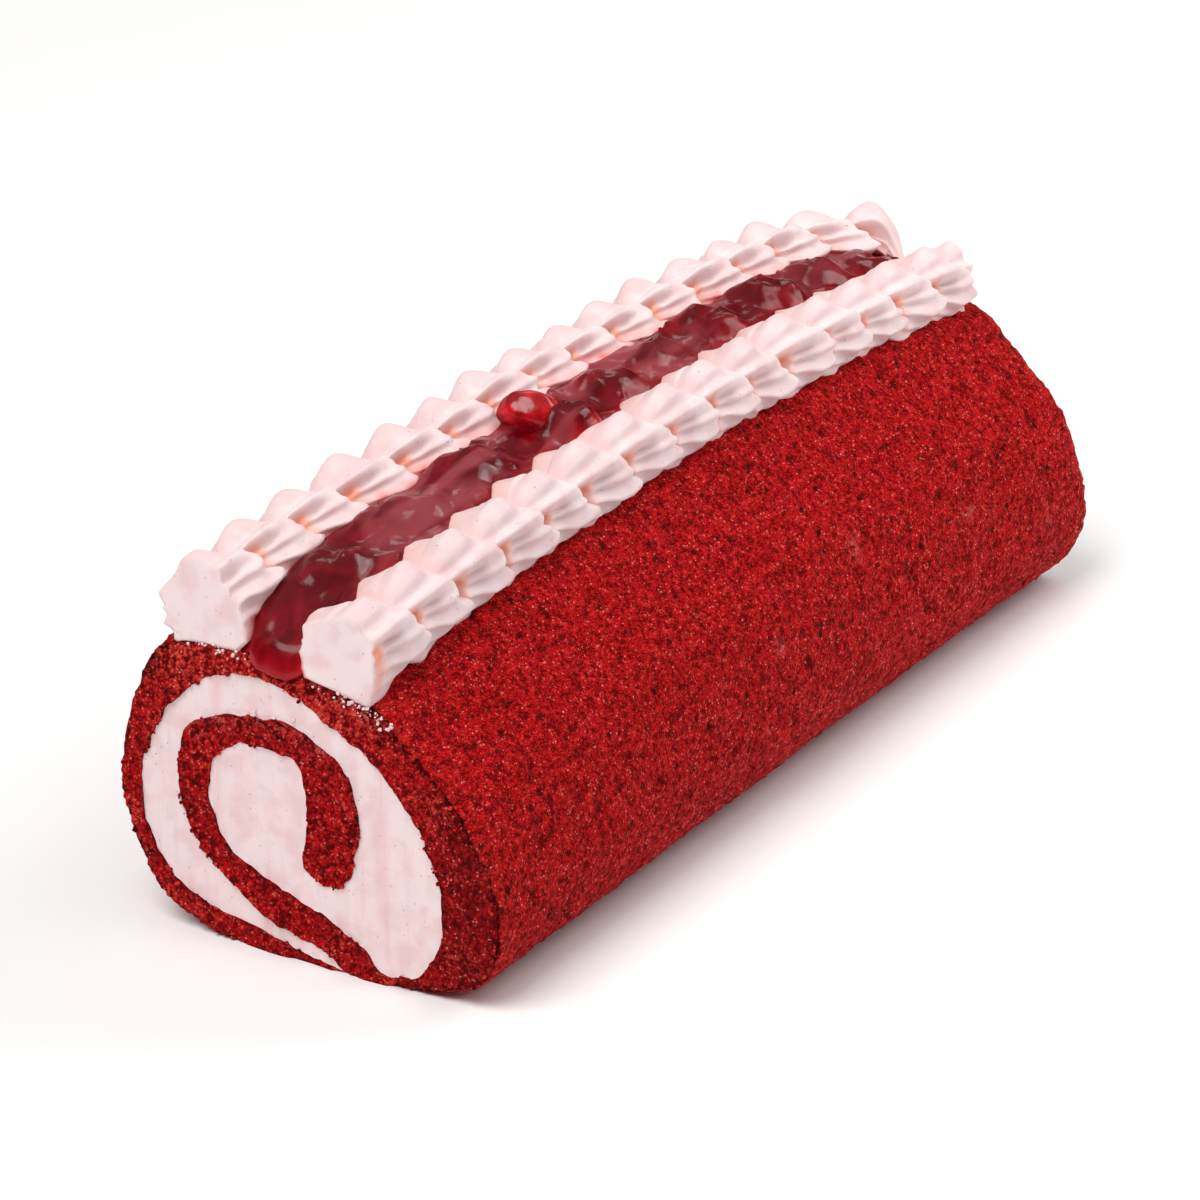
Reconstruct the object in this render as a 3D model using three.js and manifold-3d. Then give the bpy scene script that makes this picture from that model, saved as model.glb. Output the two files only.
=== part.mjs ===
// A swiss roll cake, rolled from one sheet of red sponge round pink cream.
// Two piped cream borders run along its top, with a strip of fruit sauce between them.
// Millimetres, +Z up. The roll lies along X and its cut face looks towards -X.
import * as THREE from 'three';
import { mergeVertices } from 'three/addons/utils/BufferGeometryUtils.js';
import Module from 'manifold-3d';

// Driving dimensions of the roll
const rollLength = 250;
const crownRise = 0.107;          // how much taller the middle is than the ends, as a share
const endDroop = 0.03;            // the last bit of that rise, lost close to each end
const farGrowth = 0.044;          // how much larger the far end is, as a share
const stations = [0, 0.05, 0.15, 0.32, 0.5, 0.68, 0.85, 0.95, 1];
const pieceGap = 0.3;             // air between pieces that touch
const mergeReach = 0.001;         // vertices closer than this are one

// The skin of the roll at the near face, [y, z], from one end of its flat foot to the other
const skinPoints = [
  [-20, 0], [-31, 1.6], [-40.5, 5.6], [-44.4, 13], [-45, 20], [-43.9, 26.5], [-41.6, 33.5],
  [-37.5, 41], [-31, 47.6], [-24.5, 53.4], [-19.5, 58.4], [-12, 61.3], [-2, 63.2], [9, 65],
  [20, 65.2], [29.5, 64.2], [36.5, 58.6], [41.4, 48.8], [44.6, 38.5], [44.8, 28], [42, 17],
  [38, 9.6], [32.5, 4], [24, 1.2], [16, 0],
];
const skinSides = 56;
const topFrom = 25;               // height over which the skin is the top of the roll

// The edge of the cream ribbon: out along the outer wrap of sponge, from the thin tail
// beside the seam, then back along the inner wrap to the same tail
const outerWrapEdge = [
  [-7.6, 0.6], [4, 2.6], [15.9, 5.4], [27, 7.8], [34, 13.6], [38.6, 22], [39.4, 32],
  [36.6, 42], [30.8, 50.3], [23.6, 56.6], [14, 59.8], [5, 59.2], [-6.3, 54.2], [-18, 47.2],
  [-24.5, 40], [-29.4, 31], [-32.2, 21], [-31.2, 11.6], [-27, 5.2], [-21.5, 2.8],
];
const innerWrapEdge = [
  [-17, 3.4], [-10, 8.6], [1.4, 13.4], [12, 17.4], [19.6, 22], [22.8, 30], [21.9, 39],
  [17, 43.9], [9, 45.5], [2, 43.6], [-0.6, 37], [-0.4, 28.5], [1.2, 22.6], [-2.4, 19],
  [-8, 18.8], [-11.6, 24.8], [-12.5, 34.9], [-10.6, 43.2], [-4, 48.9], [6, 51.8],
  [16, 50.7], [26, 47.4], [29.6, 41], [30.4, 31], [27.4, 23], [21, 15.8], [12, 9.8],
  [2, 5.2], [-4.5, 3.8], [-8.2, 0.6],
];
const creamSides = 86;
const tailSides = 1;              // samples of the thinnest cream that the filling stops short of

// The piped borders: a star nozzle's rope that swells into shells
const border = {
  ridgesAt: [-14, 50, 95, 140, 185, 230, 272, 308],   // degrees from upright, towards the -Y side
  fluteDepth: 0.18,               // of the radius
  mainRidge: 50,                  // the ridge that runs on from shell to shell, with a smooth dome above it
  ridgeWidth: 17,                 // degrees to each side that it holds level
  ridgeHold: 0.5,                 // share of the swelling that it leaves out
  head: 9.8,                      // radius where a shell is fattest
  tail: 6.0,                      // radius where the next shell covers it
  headAt: 0.7,                    // where along a shell its head is fattest
  overhang: 2.0,                  // how far a head leans over the tail behind it
  clearance: 4,                   // height over the sponge at which it leans that far
  lift: 3.1,                      // height of the rope's centre above the sponge
  nearExtra: 1.2,                 // extra radius of the first shells
  nearLift: 2.6,
  nearReach: 32,                  // length over which those fade
  farReach: 14,                   // length over which a lifted far end fades
  closeFrom: 0.4,                 // where along the last shell it starts to round off
  settle: 0.75,                   // share of its lift that the tip of the last shell gives up
  pitch: 16.1,
  unevenness: 1.5,
  shortest: 0.5,                  // of a pitch, the shortest last shell
  firstRing: 1,                   // the nearest ring to the near face
  phases: [0.14, 0.42, 0.68, 0.9, 1],
};
const rightBorder = {
  plan: [[0, -8.6], [12, -8.6], [80, -8.7], [160, -9.6], [248, -11.4]],
  turn: 0,                        // degrees that its ridges are turned by
  firstHead: 12.7,
  seed: 3,
  raise: 0,
  endLift: 0,
  endExtra: 0,
};
const leftBorder = {
  plan: [[0, 23.4], [12, 23.4], [30, 22.8], [64, 20.4], [130, 19], [190, 16.8], [212, 16],
    [226, 13.4], [235.4, 8.4], [240.6, 1.8], [241.6, -2]],
  turn: -32,
  firstHead: 8.5,
  seed: 41,
  raise: 0.6,
  endLift: 3.2,
  endExtra: 0.6,
};

// The fruit sauce between the borders
const sauce = {
  reach: 236,
  frontDepth: 2.8,
  depth: 7.2,
  frontFade: 9,
  leftRise: 0.5,                  // extra depth beside the left border
  leftRiseFrom: 30,               // length over which that grows
  ripples: [[0.35, 0.21, 0.5], [0.3, 0.43, -0.7]],    // height, turns along and turns across
  bite: 4,                        // how far it runs into the borders before they are cut from it
  rows: 54,
  lanes: 7,
  under: 4,
};
// Fruit under the sauce, [x, y, height, radius along, radius across]
const sauceLumps = [
  [22, 9, 1.7, 9, 8], [47, 7, 1.4, 9, 8], [71, 6, 2.4, 10, 8], [99, 1.6, 3.2, 7.5, 6.5],
  [121, 4, 2.6, 8, 8], [142, 4, 1.6, 8, 7], [163, 3, 3.4, 9, 9], [187, 3, 3.2, 8.5, 9],
  [209, 1, 2.6, 8, 7], [226, 0, 1.2, 7, 6],
];
const lumpShape = { skew: 0.5, core: 0.35, edge: 1.05 };
// The piece of fruit that stands out of the sauce
const fruitPiece = { centre: [95.5, 7.3, 83], radii: [7.2, 4.8, 4.7], turn: -72, around: 14, rings: 8 };

// Colours of the pieces
const colours = { sponge: 0x8f1512, cream: 0xf6d9d8, piped: 0xf8dcda, sauce: 0x6a0a16, fruit: 0xb0121c };

// Shape of the roll along its length
function heightShare(x) {
  const t = x / rollLength;
  const middle = 4 * t * (1 - t);
  const nearEnds = 1 - Math.pow(2 * t - 1, 6);
  return 1 + crownRise * middle + endDroop * nearEnds;
}

function sizeShare(x) {
  return 1 + farGrowth * x / rollLength;
}

function placeOnRoll(x, point) {
  const size = sizeShare(x);
  return new THREE.Vector3(x, point.x * size, point.y * size * heightShare(x));
}

// Smooth lines through the section's points
function smoothLine(points, sides) {
  const curve = new THREE.SplineCurve(points.map(([y, z]) => new THREE.Vector2(y, z)));
  return curve.getSpacedPoints(sides);
}

const skinLine = smoothLine(skinPoints, skinSides);
const creamLine = smoothLine([...outerWrapEdge, ...innerWrapEdge], creamSides);
const topLine = skinLine.filter((point) => point.y > topFrom);

function topOfRoll(x, y) {
  const size = sizeShare(x);
  const across = y / size;
  const next = Math.max(1, topLine.findIndex((point) => point.x >= across));
  const before = topLine[next - 1];
  const after = topLine[next];
  const part = (across - before.x) / (after.x - before.x);
  return THREE.MathUtils.lerp(before.y, after.y, part) * size * heightShare(x);
}

// Moves a line sideways, to its left as it is followed when the step is positive
function offsetLine(line, step) {
  return line.map((point, i) => {
    const before = line[Math.max(i - 1, 0)];
    const after = line[Math.min(i + 1, line.length - 1)];
    const along = after.clone().sub(before).normalize();
    return new THREE.Vector2(point.x - along.y * step, point.y + along.x * step);
  });
}

function closedGeometry(positions, indices) {
  const geometry = new THREE.BufferGeometry();
  geometry.setAttribute('position', new THREE.Float32BufferAttribute(positions, 3));
  geometry.setIndex(indices);
  return mergedGeometry(geometry);
}

// Joins vertices that coincide and drops the triangles that this leaves without an area
function mergedGeometry(geometry) {
  const merged = mergeVertices(geometry, mergeReach);
  const index = merged.index.array;
  const kept = [];
  for (let i = 0; i < index.length; i += 3) {
    const [a, b, c] = index.slice(i, i + 3);
    if (a !== b && b !== c && c !== a) {
      kept.push(a, b, c);
    }
  }
  merged.setIndex(kept);
  return merged;
}

// A section carried along the roll, growing and rising with it
function alongRoll(outline, places) {
  const contour = THREE.ShapeUtils.isClockWise(outline) ? [...outline].reverse() : outline;
  const count = contour.length;
  const positions = places.flatMap((x) => contour.flatMap((point) => placeOnRoll(x, point).toArray()));
  const indices = [];
  for (let row = 0; row < places.length - 1; row++) {
    for (let i = 0; i < count; i++) {
      const a = row * count + i;
      const b = row * count + (i + 1) % count;
      indices.push(a, b, b + count, a, b + count, a + count);
    }
  }
  const last = (places.length - 1) * count;
  for (const [a, b, c] of THREE.ShapeUtils.triangulateShape(contour, [])) {
    indices.push(a, c, b, last + a, last + b, last + c);
  }
  return closedGeometry(positions, indices);
}

// Turns every triangle round when the solid is inside out
function facingOut(geometry) {
  const index = geometry.index.array;
  const at = (i) => new THREE.Vector3().fromBufferAttribute(geometry.attributes.position, index[i]);
  let volume = 0;
  for (let i = 0; i < index.length; i += 3) {
    volume += at(i).dot(at(i + 1).cross(at(i + 2)));
  }
  if (volume < 0) {
    for (let i = 0; i < index.length; i += 3) {
      [index[i + 1], index[i + 2]] = [index[i + 2], index[i + 1]];
    }
  }
  return geometry;
}

// The sheet of sponge: the skin outside, the cream's edge inside and the open seam between
function spongeGeometry() {
  const rollPlaces = stations.map((t) => t * rollLength);
  const seamOut = new THREE.Vector2(creamLine[0].x, 0);
  const seamIn = new THREE.Vector2(creamLine[creamLine.length - 1].x, 0);
  return alongRoll([seamIn, ...skinLine, seamOut, ...creamLine], rollPlaces);
}

function fillingGeometry() {
  const rollPlaces = stations.map((t) => t * rollLength);
  const ribbon = offsetLine(creamLine, pieceGap).slice(tailSides, -tailSides);
  return alongRoll(ribbon, rollPlaces);
}

// A steady spread of numbers from 0 to 1
function spread(n) {
  const value = Math.sin(n * 12.9898) * 43758.5453;
  return value - Math.floor(value);
}

// Where each shell's head ends, measured along the rope from the near face
function shellEnds(rope, length) {
  const ends = [];
  for (let k = 0; rope.firstHead + k * border.pitch < length - border.shortest * border.pitch; k++) {
    const drift = (2 * spread(k + rope.seed) - 1) * border.unevenness;
    ends.push(rope.firstHead + k * border.pitch + drift * Math.min(k, 1));
  }
  return [rope.firstHead - border.pitch, ...ends, length];
}

// Every ring of the rope: where it is, how far through its shell, and whether it is the last
function ropeRings(rope, length) {
  const ends = shellEnds(rope, length);
  const rings = [];
  for (let k = 0; k < ends.length - 1; k++) {
    for (const phase of border.phases) {
      const at = THREE.MathUtils.lerp(ends[k], ends[k + 1], phase);
      if (at > border.firstRing) {
        rings.push({ at, phase, closing: k === ends.length - 2 });
      }
    }
  }
  const firstPhase = -ends[0] / (ends[1] - ends[0]);
  return [{ at: 0, phase: firstPhase, closing: false }, ...rings];
}

// A piped rope of shells along a line in plan, lying on the roll, grown all round by extra
function ropeGeometry(rope, extra) {
  const plan = new THREE.CatmullRomCurve3(rope.plan.map(([x, y]) => new THREE.Vector3(x, y, 0)));
  const length = plan.getLength();
  const ridges = border.ridgesAt;
  const sides = ridges.length * 2;
  const positions = [];
  const rings = ropeRings(rope, length);
  for (const ring of rings) {
    const along = Math.min(ring.at / length, 1);
    const centre = plan.getPointAt(along);
    const forward = plan.getTangentAt(along);
    const side = new THREE.Vector3(forward.y, -forward.x, 0);
    const roundFrom = ring.closing ? border.closeFrom : border.headAt;
    const front = Math.max(ring.phase - roundFrom, 0) / (1 - roundFrom);
    const rise = Math.sin(Math.PI / 2 * Math.min(ring.phase / border.headAt, 1));
    const roundOff = Math.sqrt(Math.max(1 - front * front, 0));
    const nearness = Math.exp(-ring.at / border.nearReach);
    const farness = Math.exp(-(length - ring.at) / border.farReach);
    const size = border.nearExtra * nearness + rope.endExtra * farness;
    const whole = border.lift + rope.raise + border.nearLift * nearness + rope.endLift * farness;
    const lift = whole * (ring.closing ? 1 - border.settle * (1 - roundOff) : 1);
    const surface = topOfRoll(centre.x, centre.y);
    const level = surface + lift;
    for (let i = 0; i < sides; i++) {
      // ridges and the middles of the flutes between them, in turn
      const ridge = ridges[Math.floor(i / 2)];
      const next = i === sides - 1 ? ridges[0] + 360 : ridges[Math.floor((i + 1) / 2)];
      const degrees = (ridge + next) / 2;
      const dome = degrees < border.mainRidge;
      const angle = THREE.MathUtils.degToRad(degrees + rope.turn);
      const fromMain = Math.abs(THREE.MathUtils.euclideanModulo(degrees - border.mainRidge + 180, 360) - 180);
      const pulse = 1 - border.ridgeHold * Math.exp(-Math.pow(fromMain / border.ridgeWidth, 2));
      const tail = border.head - (border.head - border.tail) * pulse;
      const shell = ring.closing ? rise : rise * roundOff;
      const flute = i % 2 === 1 && !dome ? 1 - border.fluteDepth : 1;
      const swell = (tail + (border.head - tail) * shell + size) * (ring.closing ? roundOff : 1);
      const radius = swell * flute;
      const clear = THREE.MathUtils.smoothstep(level + radius * Math.cos(angle) - surface, 0, border.clearance);
      const overhang = ring.closing ? 0 : border.overhang * Math.sin(Math.PI * front) * clear;
      const lean = overhang + extra * Math.min(2 * front, 1);
      const point = centre.clone();
      point.z = level + (radius + extra) * Math.cos(angle);
      point.addScaledVector(side, (radius + extra) * Math.sin(angle));
      point.addScaledVector(forward, lean);
      point.z = Math.max(point.z, topOfRoll(point.x, point.y) + pieceGap - extra);
      positions.push(...point.toArray());
    }
  }
  return capRings(positions, rings.length, sides);
}

// Joins rings of points into a closed solid, with a fan over each end
function capRings(positions, rows, sides) {
  const middle = (row) => {
    const sum = new THREE.Vector3();
    for (let i = 0; i < sides; i++) {
      sum.add(new THREE.Vector3().fromArray(positions, (row * sides + i) * 3));
    }
    return sum.divideScalar(sides);
  };
  const nearCentre = positions.length / 3;
  const farCentre = nearCentre + 1;
  positions.push(...middle(0).toArray(), ...middle(rows - 1).toArray());
  const indices = [];
  for (let i = 0; i < sides; i++) {
    const next = (i + 1) % sides;
    for (let row = 0; row < rows - 1; row++) {
      const a = row * sides + i;
      const b = row * sides + next;
      indices.push(a, b + sides, b, a, a + sides, b + sides);
    }
    const last = (rows - 1) * sides;
    indices.push(nearCentre, i, next, farCentre, last + next, last + i);
  }
  return facingOut(closedGeometry(positions, indices));
}

// Depth of the sauce over the sponge; across runs from 0 at the right border to 1 at the left
function sauceDepth(x, y, across) {
  let depth = sauce.frontDepth;
  depth += (sauce.depth - sauce.frontDepth) * (1 - Math.exp(-x / sauce.frontFade));
  depth += sauce.leftRise * across * Math.min(x / sauce.leftRiseFrom, 1);
  for (const [height, along, wide] of sauce.ripples) {
    depth += height * Math.sin(x * along + y * wide);
  }
  for (const [lumpX, lumpY, height, along, wide] of sauceLumps) {
    const slanted = (x - lumpX + lumpShape.skew * (y - lumpY)) / along;
    const distance = Math.hypot(slanted, (y - lumpY) / wide);
    depth += height * (1 - THREE.MathUtils.smoothstep(distance, lumpShape.core, lumpShape.edge));
  }
  return depth;
}

function planAt(rope, x) {
  const last = rope.plan.length - 1;
  const next = Math.min(Math.max(rope.plan.findIndex((point) => point[0] > x), 1), last);
  const [x0, y0] = rope.plan[next - 1];
  const [x1, y1] = rope.plan[next];
  return THREE.MathUtils.lerp(y0, y1, (x - x0) / (x1 - x0));
}

function sauceBlock() {
  const positions = [];
  const reach = sauce.lanes + 1;
  for (let row = 0; row <= sauce.rows; row++) {
    const x = sauce.reach * row / sauce.rows;
    const right = planAt(rightBorder, x) + sauce.bite;
    const left = planAt(leftBorder, x) - sauce.bite;
    for (let lane = 0; lane < reach; lane++) {
      const across = lane / sauce.lanes;
      const y = THREE.MathUtils.lerp(right, left, across);
      positions.push(x, y, topOfRoll(x, y) + sauceDepth(x, y, across));
    }
    for (const y of [left, right]) {
      positions.push(x, y, topOfRoll(x, y) - sauce.under);
    }
  }
  return capRings(positions, sauce.rows + 1, reach + 2);
}

function fruitGeometry(extra) {
  const geometry = new THREE.SphereGeometry(1, fruitPiece.around, fruitPiece.rings);
  geometry.deleteAttribute('normal');
  geometry.deleteAttribute('uv');
  const ball = mergedGeometry(geometry);
  const [x, y, z] = fruitPiece.radii;
  ball.scale(x + extra, y + extra, z + extra);
  ball.rotateZ(THREE.MathUtils.degToRad(fruitPiece.turn));
  ball.translate(...fruitPiece.centre);
  return ball;
}

// Cutting one piece out of another
const wasm = await Module();
wasm.setup();

function solidOf(geometry) {
  const vertProperties = new Float32Array(geometry.attributes.position.array);
  const triVerts = new Uint32Array(geometry.index.array);
  return new wasm.Manifold(new wasm.Mesh({ numProp: 3, vertProperties, triVerts }));
}

function cutFrom(geometry, tools) {
  let solid = solidOf(geometry);
  for (const tool of tools) {
    solid = solid.subtract(solidOf(tool));
  }
  const { vertProperties, triVerts, numProp } = solid.getMesh();
  const positions = [];
  for (let i = 0; i < vertProperties.length; i += numProp) {
    positions.push(vertProperties[i], vertProperties[i + 1], vertProperties[i + 2]);
  }
  return largestBody(closedGeometry(positions, Array.from(triVerts)));
}

// Keeps the biggest connected body, so that no loose scrap of a cut is left
function largestBody(geometry) {
  const index = geometry.index.array;
  const parent = Array.from({ length: geometry.attributes.position.count }, (_, i) => i);
  const rootOf = (i) => {
    while (parent[i] !== i) {
      i = parent[i];
    }
    return i;
  };
  for (let i = 0; i < index.length; i += 3) {
    parent[rootOf(index[i + 1])] = rootOf(index[i]);
    parent[rootOf(index[i + 2])] = rootOf(index[i]);
  }
  const bodies = new Map();
  for (let i = 0; i < index.length; i += 3) {
    const root = rootOf(index[i]);
    bodies.set(root, [...(bodies.get(root) ?? []), index[i], index[i + 1], index[i + 2]]);
  }
  const [largest] = [...bodies.values()].sort((a, b) => b.length - a.length);
  geometry.setIndex(largest);
  return geometry;
}

// The whole roll, a little longer at both ends, to be cut out of what lies on it
const blockOverrun = 0.02;

function rollBlock() {
  const grown = offsetLine(skinLine, pieceGap);
  const past = [-blockOverrun, ...stations.slice(1, -1), 1 + blockOverrun];
  return alongRoll(grown, past.map((t) => t * rollLength));
}

function leftBorderGeometry() {
  return cutFrom(ropeGeometry(leftBorder, 0), [ropeGeometry(rightBorder, pieceGap)]);
}

function sauceGeometry() {
  return cutFrom(sauceBlock(), [
    rollBlock(),
    ropeGeometry(rightBorder, pieceGap),
    ropeGeometry(leftBorder, pieceGap),
    fruitGeometry(pieceGap),
  ]);
}

function fruitBetweenBorders() {
  return cutFrom(fruitGeometry(0), [ropeGeometry(rightBorder, pieceGap), ropeGeometry(leftBorder, pieceGap)]);
}

function mesh(name, geometry, colour, roughness) {
  const material = new THREE.MeshStandardMaterial({ color: colour, roughness, metalness: 0 });
  const piece = new THREE.Mesh(geometry, material);
  piece.name = name;
  return piece;
}

const group = new THREE.Group();
group.add(
  mesh('sponge', spongeGeometry(), colours.sponge, 0.95),
  mesh('filling', fillingGeometry(), colours.cream, 0.7),
  mesh('border_right', ropeGeometry(rightBorder, 0), colours.piped, 0.6),
  mesh('border_left', leftBorderGeometry(), colours.piped, 0.6),
  mesh('sauce', sauceGeometry(), colours.sauce, 0.15),
  mesh('fruit_piece', fruitBetweenBorders(), colours.fruit, 0.15),
);

// The origin is at the middle of the foot of the bounding box
const box = new THREE.Box3().setFromObject(group);
const middle = box.getCenter(new THREE.Vector3());
group.position.set(-middle.x, -middle.y, -box.min.z);

export default group;
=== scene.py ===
import itertools
import math

import bmesh
import bpy
import numpy as np
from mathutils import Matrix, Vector
from mathutils.geometry import delaunay_2d_cdt


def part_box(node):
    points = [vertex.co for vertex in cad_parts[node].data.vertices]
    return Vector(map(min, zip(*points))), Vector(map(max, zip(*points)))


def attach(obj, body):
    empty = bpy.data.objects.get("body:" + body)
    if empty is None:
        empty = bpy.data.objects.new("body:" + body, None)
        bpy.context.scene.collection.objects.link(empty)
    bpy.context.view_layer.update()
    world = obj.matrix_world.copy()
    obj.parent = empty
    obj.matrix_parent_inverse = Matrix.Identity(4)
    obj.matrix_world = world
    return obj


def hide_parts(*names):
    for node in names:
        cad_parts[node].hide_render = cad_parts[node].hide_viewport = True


# A red swiss roll with two piped cream borders and fruit sauce between them.
# Shapes are worked out in millimetres, with x measured from the cut face near the camera,
# and makePiece turns them into metres in the frame of the CAD model.
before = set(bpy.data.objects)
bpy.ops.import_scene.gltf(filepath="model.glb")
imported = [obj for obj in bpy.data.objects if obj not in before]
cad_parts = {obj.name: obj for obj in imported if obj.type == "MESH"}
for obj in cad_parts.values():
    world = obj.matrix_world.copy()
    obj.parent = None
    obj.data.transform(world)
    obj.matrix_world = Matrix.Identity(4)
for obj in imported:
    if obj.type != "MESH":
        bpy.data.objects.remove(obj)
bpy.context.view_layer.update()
mm = 0.001
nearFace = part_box("sponge")[0].x


# Steady random numbers and noise

def scatter(cells, seed):
    mixed = cells.astype(np.int64) @ np.array([73856093, 19349663, 83492791]) + seed * 7919
    mixed = (mixed ^ (mixed >> 13)) * 1274126177
    return ((mixed ^ (mixed >> 16)) & 0xFFFFFF) / 0xFFFFFF


def softNoise(points, size, seed):
    # smooth lumps about as wide as size, from -1 to 1
    scaled = np.asarray(points, float) / size
    base = np.floor(scaled)
    part = scaled - base
    part = part * part * (3 - 2 * part)
    total = np.zeros(len(scaled))
    for corner in itertools.product((0, 1), repeat=3):
        share = np.prod(np.where(corner, part, 1 - part), axis=1)
        total += share * scatter(base + corner, seed)
    return 2 * total - 1


def cellNoise(points, size, seed):
    # distance to the nearest of a cloud of dots, in cells, and that dot's own number
    scaled = np.asarray(points, float) / size
    base = np.floor(scaled)
    nearest = np.full(len(scaled), 9.0)
    owner = np.zeros(len(scaled))
    for step in itertools.product((-1, 0, 1), repeat=3):
        cell = base + step
        dot = cell + np.stack([scatter(cell, seed + k) for k in (1, 2, 3)], axis=1)
        away = np.linalg.norm(scaled - dot, axis=1)
        closer = away < nearest
        owner[closer] = scatter(cell, seed + 4)[closer]
        nearest = np.minimum(nearest, away)
    return nearest, owner


def smoothStep(value, low, high):
    part = np.clip((value - low) / (high - low), 0, 1)
    return part * part * (3 - 2 * part)


# Lines and faces

def smoothLine(points, centripetal=False):
    # a dense smooth curve through the points
    points = np.array(points, float)
    ends = [2 * points[0] - points[1]], [2 * points[-1] - points[-2]]
    held = np.concatenate([ends[0], points, ends[1]])
    pieces = []
    for i in range(len(points) - 1):
        a, b, c, d = held[i:i + 4]
        power = 0.5 if centripetal else 0
        first, span, last = [max(np.linalg.norm(q - p), 1e-6) ** power for p, q in ((a, b), (b, c), (c, d))]
        leave = ((b - a) / first - (c - a) / (first + span) + (c - b) / span) * span
        arrive = ((c - b) / span - (d - b) / (span + last) + (d - c) / last) * span
        t = np.linspace(0, 1, 40, endpoint=False)[:, None]
        pieces.append(b + leave * t + (3 * (c - b) - 2 * leave - arrive) * t ** 2
                      + (2 * (b - c) + leave + arrive) * t ** 3)
    return np.concatenate([*pieces, points[-1:]])


def lengthsAlong(line):
    return np.concatenate([[0], np.cumsum(np.linalg.norm(np.diff(line, axis=0), axis=1))])


def spacedLine(line, step):
    along = lengthsAlong(line)
    places = np.linspace(0, along[-1], int(round(along[-1] / step)) + 1)
    return np.stack([np.interp(places, along, line[:, k]) for k in range(line.shape[1])], axis=1)


def normalsOf(line):
    # unit vectors to the left of a flat line as it is followed
    along = np.gradient(line, axis=0)
    along /= np.linalg.norm(along, axis=1)[:, None]
    return np.stack([-along[:, 1], along[:, 0]], axis=1)


def gridFaces(rows, cols, closed=False, start=0):
    row, col = np.meshgrid(np.arange(rows - 1), np.arange(cols if closed else cols - 1), indexing="ij")
    a = row * cols + col
    b = row * cols + (col + 1) % cols
    return (np.stack([a, b, b + cols, a + cols], axis=-1).reshape(-1, 4) + start).tolist()


def zipFaces(first, second, firstPlaces, secondPlaces):
    # triangles between two rows of vertices whose counts differ
    faces, i, j = [], 0, 0
    while i < len(first) - 1 or j < len(second) - 1:
        stepFirst = j == len(second) - 1 or (i < len(first) - 1 and firstPlaces[i + 1] <= secondPlaces[j + 1])
        if stepFirst:
            faces.append([first[i], first[i + 1], second[j]])
            i += 1
        else:
            faces.append([first[i], second[j + 1], second[j]])
            j += 1
    return faces


def insideOutline(points, outline):
    inside = np.zeros(len(points), bool)
    for p, q in zip(outline, np.roll(outline, -1, axis=0)):
        crosses = (p[1] > points[:, 1]) != (q[1] > points[:, 1])
        rise = q[1] - p[1] if q[1] != p[1] else 1e-9
        inside ^= crosses & (points[:, 0] < (q[0] - p[0]) * (points[:, 1] - p[1]) / rise + p[0])
    return inside


def awayFrom(points, line):
    # how far each flat point is from the nearest corner of a line
    away = np.full(len(points), 99.0)
    for corner in line:
        away = np.minimum(away, np.hypot(*(points - corner).T))
    return away


def fillOutline(outline, step, seed):
    # scattered points inside a flat outline, and the triangles that join them all
    low, high = outline.min(0), outline.max(0)
    across = np.arange(low[0], high[0], step)
    up = np.arange(low[1], high[1], step * 0.87)
    grid = np.array([(y + (k % 2) * step / 2, z) for k, z in enumerate(up) for y in across])
    cells = np.column_stack([np.round(grid / step * 2), np.zeros(len(grid))])
    grid += (np.column_stack([scatter(cells, seed), scatter(cells, seed + 1)]) - 0.5) * step * 0.55
    grid = grid[insideOutline(grid, outline)]
    flat = np.concatenate([outline, grid[awayFrom(grid, outline) > step * 0.5]])
    made = delaunay_2d_cdt([Vector(p) for p in flat], [], [list(range(len(outline)))], 1, 1e-6)
    original = [source[0] if source else -1 for source in made[3]]
    faces = [[original[i] for i in face] for face in made[2]]
    return flat, [face for face in faces if min(face) >= 0 and len(set(face)) == 3]


def closeEnd(points, rim, step, seed, x, facing):
    # fills one end of the roll with points and with triangles that are turned outwards
    flat, triangles = fillOutline(points[rim][:, 1:], step, seed)
    inner = flat[len(rim):]
    index = np.concatenate([rim, np.arange(len(points), len(points) + len(inner))])
    points = np.concatenate([points, np.column_stack([np.full(len(inner), x), inner])])
    corners = index[np.array(triangles)]
    first, second = [points[corners[:, k], 1:] - points[corners[:, 0], 1:] for k in (1, 2)]
    turned = (first[:, 0] * second[:, 1] - first[:, 1] * second[:, 0] > 0) == (facing < 0)
    return points, index, np.where(turned[:, None], corners[:, [0, 2, 1]], corners).tolist()


def padded(masks, count):
    # masks with zeros for the vertices that were added
    return {label: np.concatenate([values, np.zeros(count - len(values))]) for label, values in masks.items()}


def makePiece(name, points, faces, material, standsFor=None, masks=None):
    mesh = bpy.data.meshes.new(name)
    mesh.from_pydata((points * mm + [nearFace, 0, 0]).tolist(), [], faces)
    for label, values in (masks or {}).items():
        mesh.attributes.new(label, "FLOAT", "POINT").data.foreach_set("value", np.asarray(values, np.float32))
    mesh.materials.append(material)
    mesh.polygons.foreach_set("use_smooth", [True] * len(mesh.polygons))
    mesh.update()
    piece = bpy.data.objects.new(name, mesh)
    bpy.context.scene.collection.objects.link(piece)
    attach(piece, "root")
    if standsFor:
        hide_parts(standsFor)
    print(name, len(points), "points", sum(len(face) - 2 for face in faces), "triangles")
    return piece


# Shader helpers

def addNode(tree, kind, inputs=None, **settings):
    node = tree.nodes.new(kind)
    for key, value in settings.items():
        setattr(node, key, value)
    for key, value in (inputs or {}).items():
        if isinstance(value, bpy.types.NodeSocket):
            tree.links.new(value, node.inputs[key])
        else:
            node.inputs[key].default_value = value
    return node


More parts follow.
